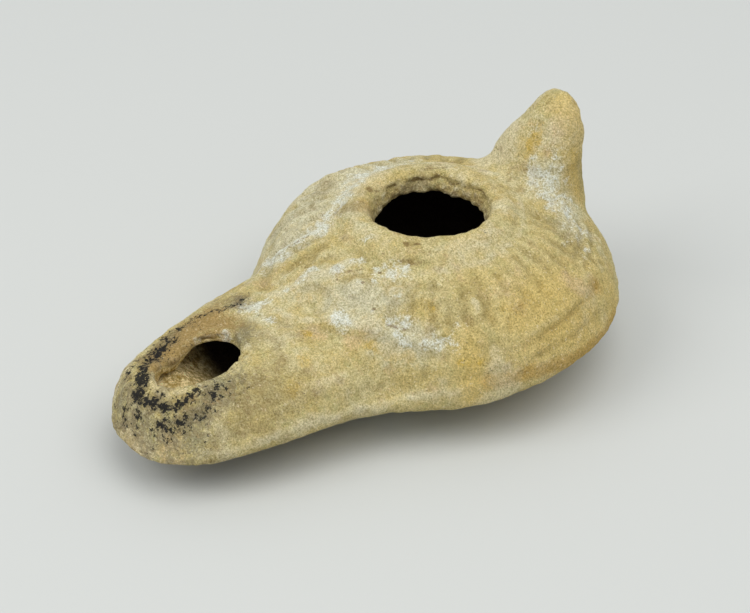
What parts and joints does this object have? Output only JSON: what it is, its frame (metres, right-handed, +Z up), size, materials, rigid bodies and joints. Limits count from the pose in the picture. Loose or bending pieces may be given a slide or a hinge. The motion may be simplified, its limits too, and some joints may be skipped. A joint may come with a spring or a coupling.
{
  "type": "ancient oil lamp",
  "caption": "Mould-made slipper-shaped oil lamp of fired clay with a domed body, round filling hole, long nozzle and leaning tongue handle.",
  "frame": {"origin": "middle of the lamp's outline, on the surface that it stands on", "axes": "+Z up; -Y towards the nozzle, +Y towards the handle; X across, and the form is the same on both sides"},
  "size_m": [0.0668, 0.1002, 0.0422],
  "materials": {
    "fired_clay": "worn unglazed fired clay with lime crust and soot"
  },
  "bodies": {
    "root": {"clay_lamp": "fired_clay"}
  },
  "joints": []
}
